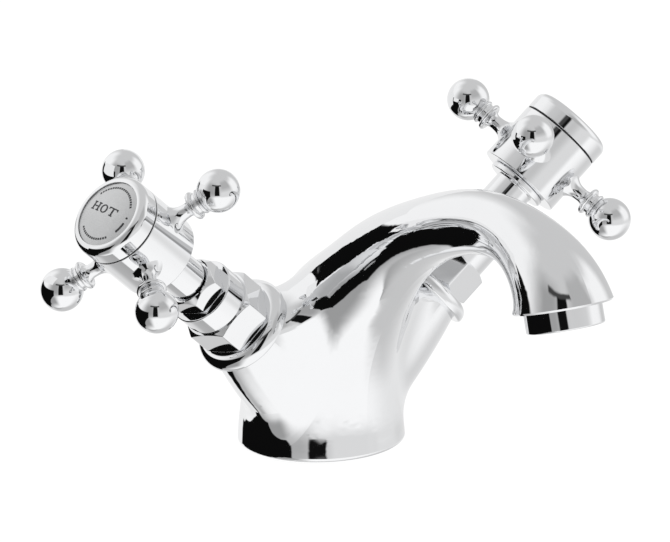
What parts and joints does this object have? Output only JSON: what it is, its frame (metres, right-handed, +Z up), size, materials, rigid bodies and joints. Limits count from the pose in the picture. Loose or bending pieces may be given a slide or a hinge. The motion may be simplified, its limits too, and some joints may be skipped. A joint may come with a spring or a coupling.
{
  "type": "basin mixer faucet",
  "caption": "Basin mixer faucet with a cast swan-neck spout, angled hot and cold quarter-turn valves and crosshead handles with ball ends, chrome plated.",
  "frame": {"origin": "centre of the base's flat underside, where it meets the basin deck", "axes": "+Z up from the deck, spout towards -Y, hot valve on -X and cold valve on +X"},
  "size_m": [0.1859, 0.1636, 0.0995],
  "materials": {
    "chrome": "polished chrome plate on brass",
    "brass": "machined brass",
    "steel": "plain steel screw",
    "rubber": "black sealing rubber",
    "ceramic": "lapped white ceramic",
    "low_friction_plastic": "white low-friction plastic",
    "white_plastic": "moulded plastic",
    "index_silver": "satin silver disc with a dark word"
  },
  "bodies": {
    "tap_body": {"body": "chrome", "base_seal": "rubber", "aerator_housing": "chrome", "aerator_insert": "white_plastic", "aerator_washer": "rubber", "hot_flange": "chrome", "hot_bonnet": "chrome", "hot_bonnet_seal": "rubber", "hot_seat_seal": "rubber", "hot_fixed_disc": "ceramic", "hot_thrust_washer": "low_friction_plastic", "hot_gland_packing": "low_friction_plastic", "hot_gland_follower": "brass", "hot_gland_nut": "chrome", "cold_flange": "chrome", "cold_bonnet": "chrome", "cold_bonnet_seal": "rubber", "cold_seat_seal": "rubber", "cold_fixed_disc": "ceramic", "cold_thrust_washer": "low_friction_plastic", "cold_gland_packing": "low_friction_plastic", "cold_gland_follower": "brass", "cold_gland_nut": "chrome"},
    "hot_handle": {"hot_moving_disc": "ceramic", "hot_spindle": "brass", "hot_spindle_seal": "rubber", "hot_stem_sleeve": "chrome", "hot_hub": "chrome", "hot_handle_arms": "chrome", "hot_handle_screw": "steel", "hot_cap": "chrome", "hot_index_disc": "index_silver"},
    "cold_handle": {"cold_moving_disc": "ceramic", "cold_spindle": "brass", "cold_spindle_seal": "rubber", "cold_stem_sleeve": "chrome", "cold_hub": "chrome", "cold_handle_arms": "chrome", "cold_handle_screw": "steel", "cold_cap": "chrome", "cold_index_disc": "index_silver"}
  },
  "joints": [
    {"name": "hot_handle_turn", "type": "hinge", "parent": "tap_body", "child": "hot_handle", "pos_m": [-0.07056, -0.01437, 0.07719], "axis": [-0.7396, -0.1192, 0.6624], "range_deg": [0, 90]},
    {"name": "cold_handle_turn", "type": "hinge", "parent": "tap_body", "child": "cold_handle", "pos_m": [0.07056, -0.01437, 0.07719], "axis": [0.7396, -0.1192, 0.6624], "range_deg": [-90, 0]}
  ]
}
